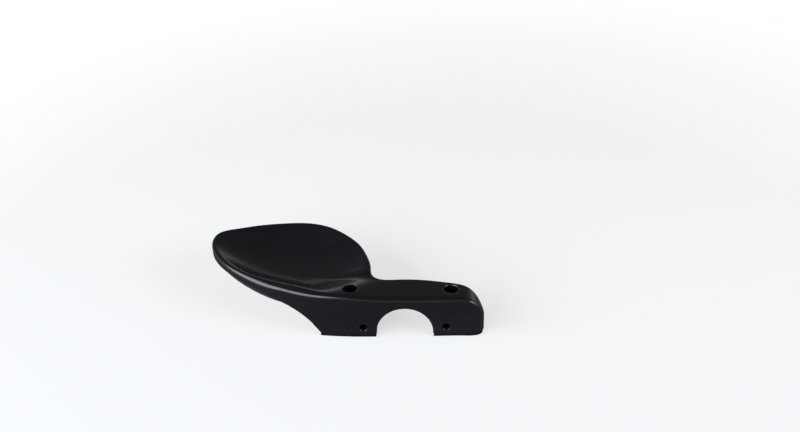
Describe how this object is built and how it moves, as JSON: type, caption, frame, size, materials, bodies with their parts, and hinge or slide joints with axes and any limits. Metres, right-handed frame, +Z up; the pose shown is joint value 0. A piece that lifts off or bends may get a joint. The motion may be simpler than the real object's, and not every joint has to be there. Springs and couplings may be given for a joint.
{
  "type": "violin chin rest",
  "caption": "Over-tailpiece chin rest: a teardrop cup rising from an arched bridge with counterbored fixing screws, captive washers and thin pads under its feet",
  "frame": {"origin": "midway between the two fixing screws, on the plane where the pads meet the instrument's top", "axes": "+X across the instrument towards the treble side, +Y towards the scroll, +Z up from the instrument's top; the screws point down -Z and the cup reaches out along -X and +Y"},
  "size_m": [0.1307, 0.0646, 0.0384],
  "materials": {
    "blackened_wood": "black, oiled and polished to a soft satin",
    "pad": "thin dark sheet with a fine dull surface",
    "blackened_steel": "blackened, slightly worn at the recess",
    "washer_steel": "plain, fine turned"
  },
  "bodies": {
    "rest": {"chin_rest_body": "blackened_wood", "left_pad": "pad", "right_pad": "pad"},
    "left_fixing": {"left_washer": "washer_steel"},
    "left_turning": {"left_screw": "blackened_steel"},
    "right_fixing": {"right_washer": "washer_steel"},
    "right_turning": {"right_screw": "blackened_steel"}
  },
  "joints": [
    {"name": "left_screw_rise", "type": "slide", "parent": "rest", "child": "left_fixing", "axis": [0, 0, 1], "range_m": [0, 0.013]},
    {"name": "left_screw_turn", "type": "hinge", "parent": "left_fixing", "child": "left_turning", "pos_m": [-0.0229, 0, 0.0121], "axis": [0, 0, 1], "range_deg": [0, 9380]},
    {"name": "right_screw_rise", "type": "slide", "parent": "rest", "child": "right_fixing", "axis": [0, 0, 1], "range_m": [0, 0.013]},
    {"name": "right_screw_turn", "type": "hinge", "parent": "right_fixing", "child": "right_turning", "pos_m": [0.0229, 0, 0.0121], "axis": [0, 0, 1], "range_deg": [0, 9380]}
  ],
  "couplings": [
    {"joint": "left_screw_turn", "follows": "left_screw_rise", "rad_per_m": 12566},
    {"joint": "right_screw_turn", "follows": "right_screw_rise", "rad_per_m": 12566}
  ]
}
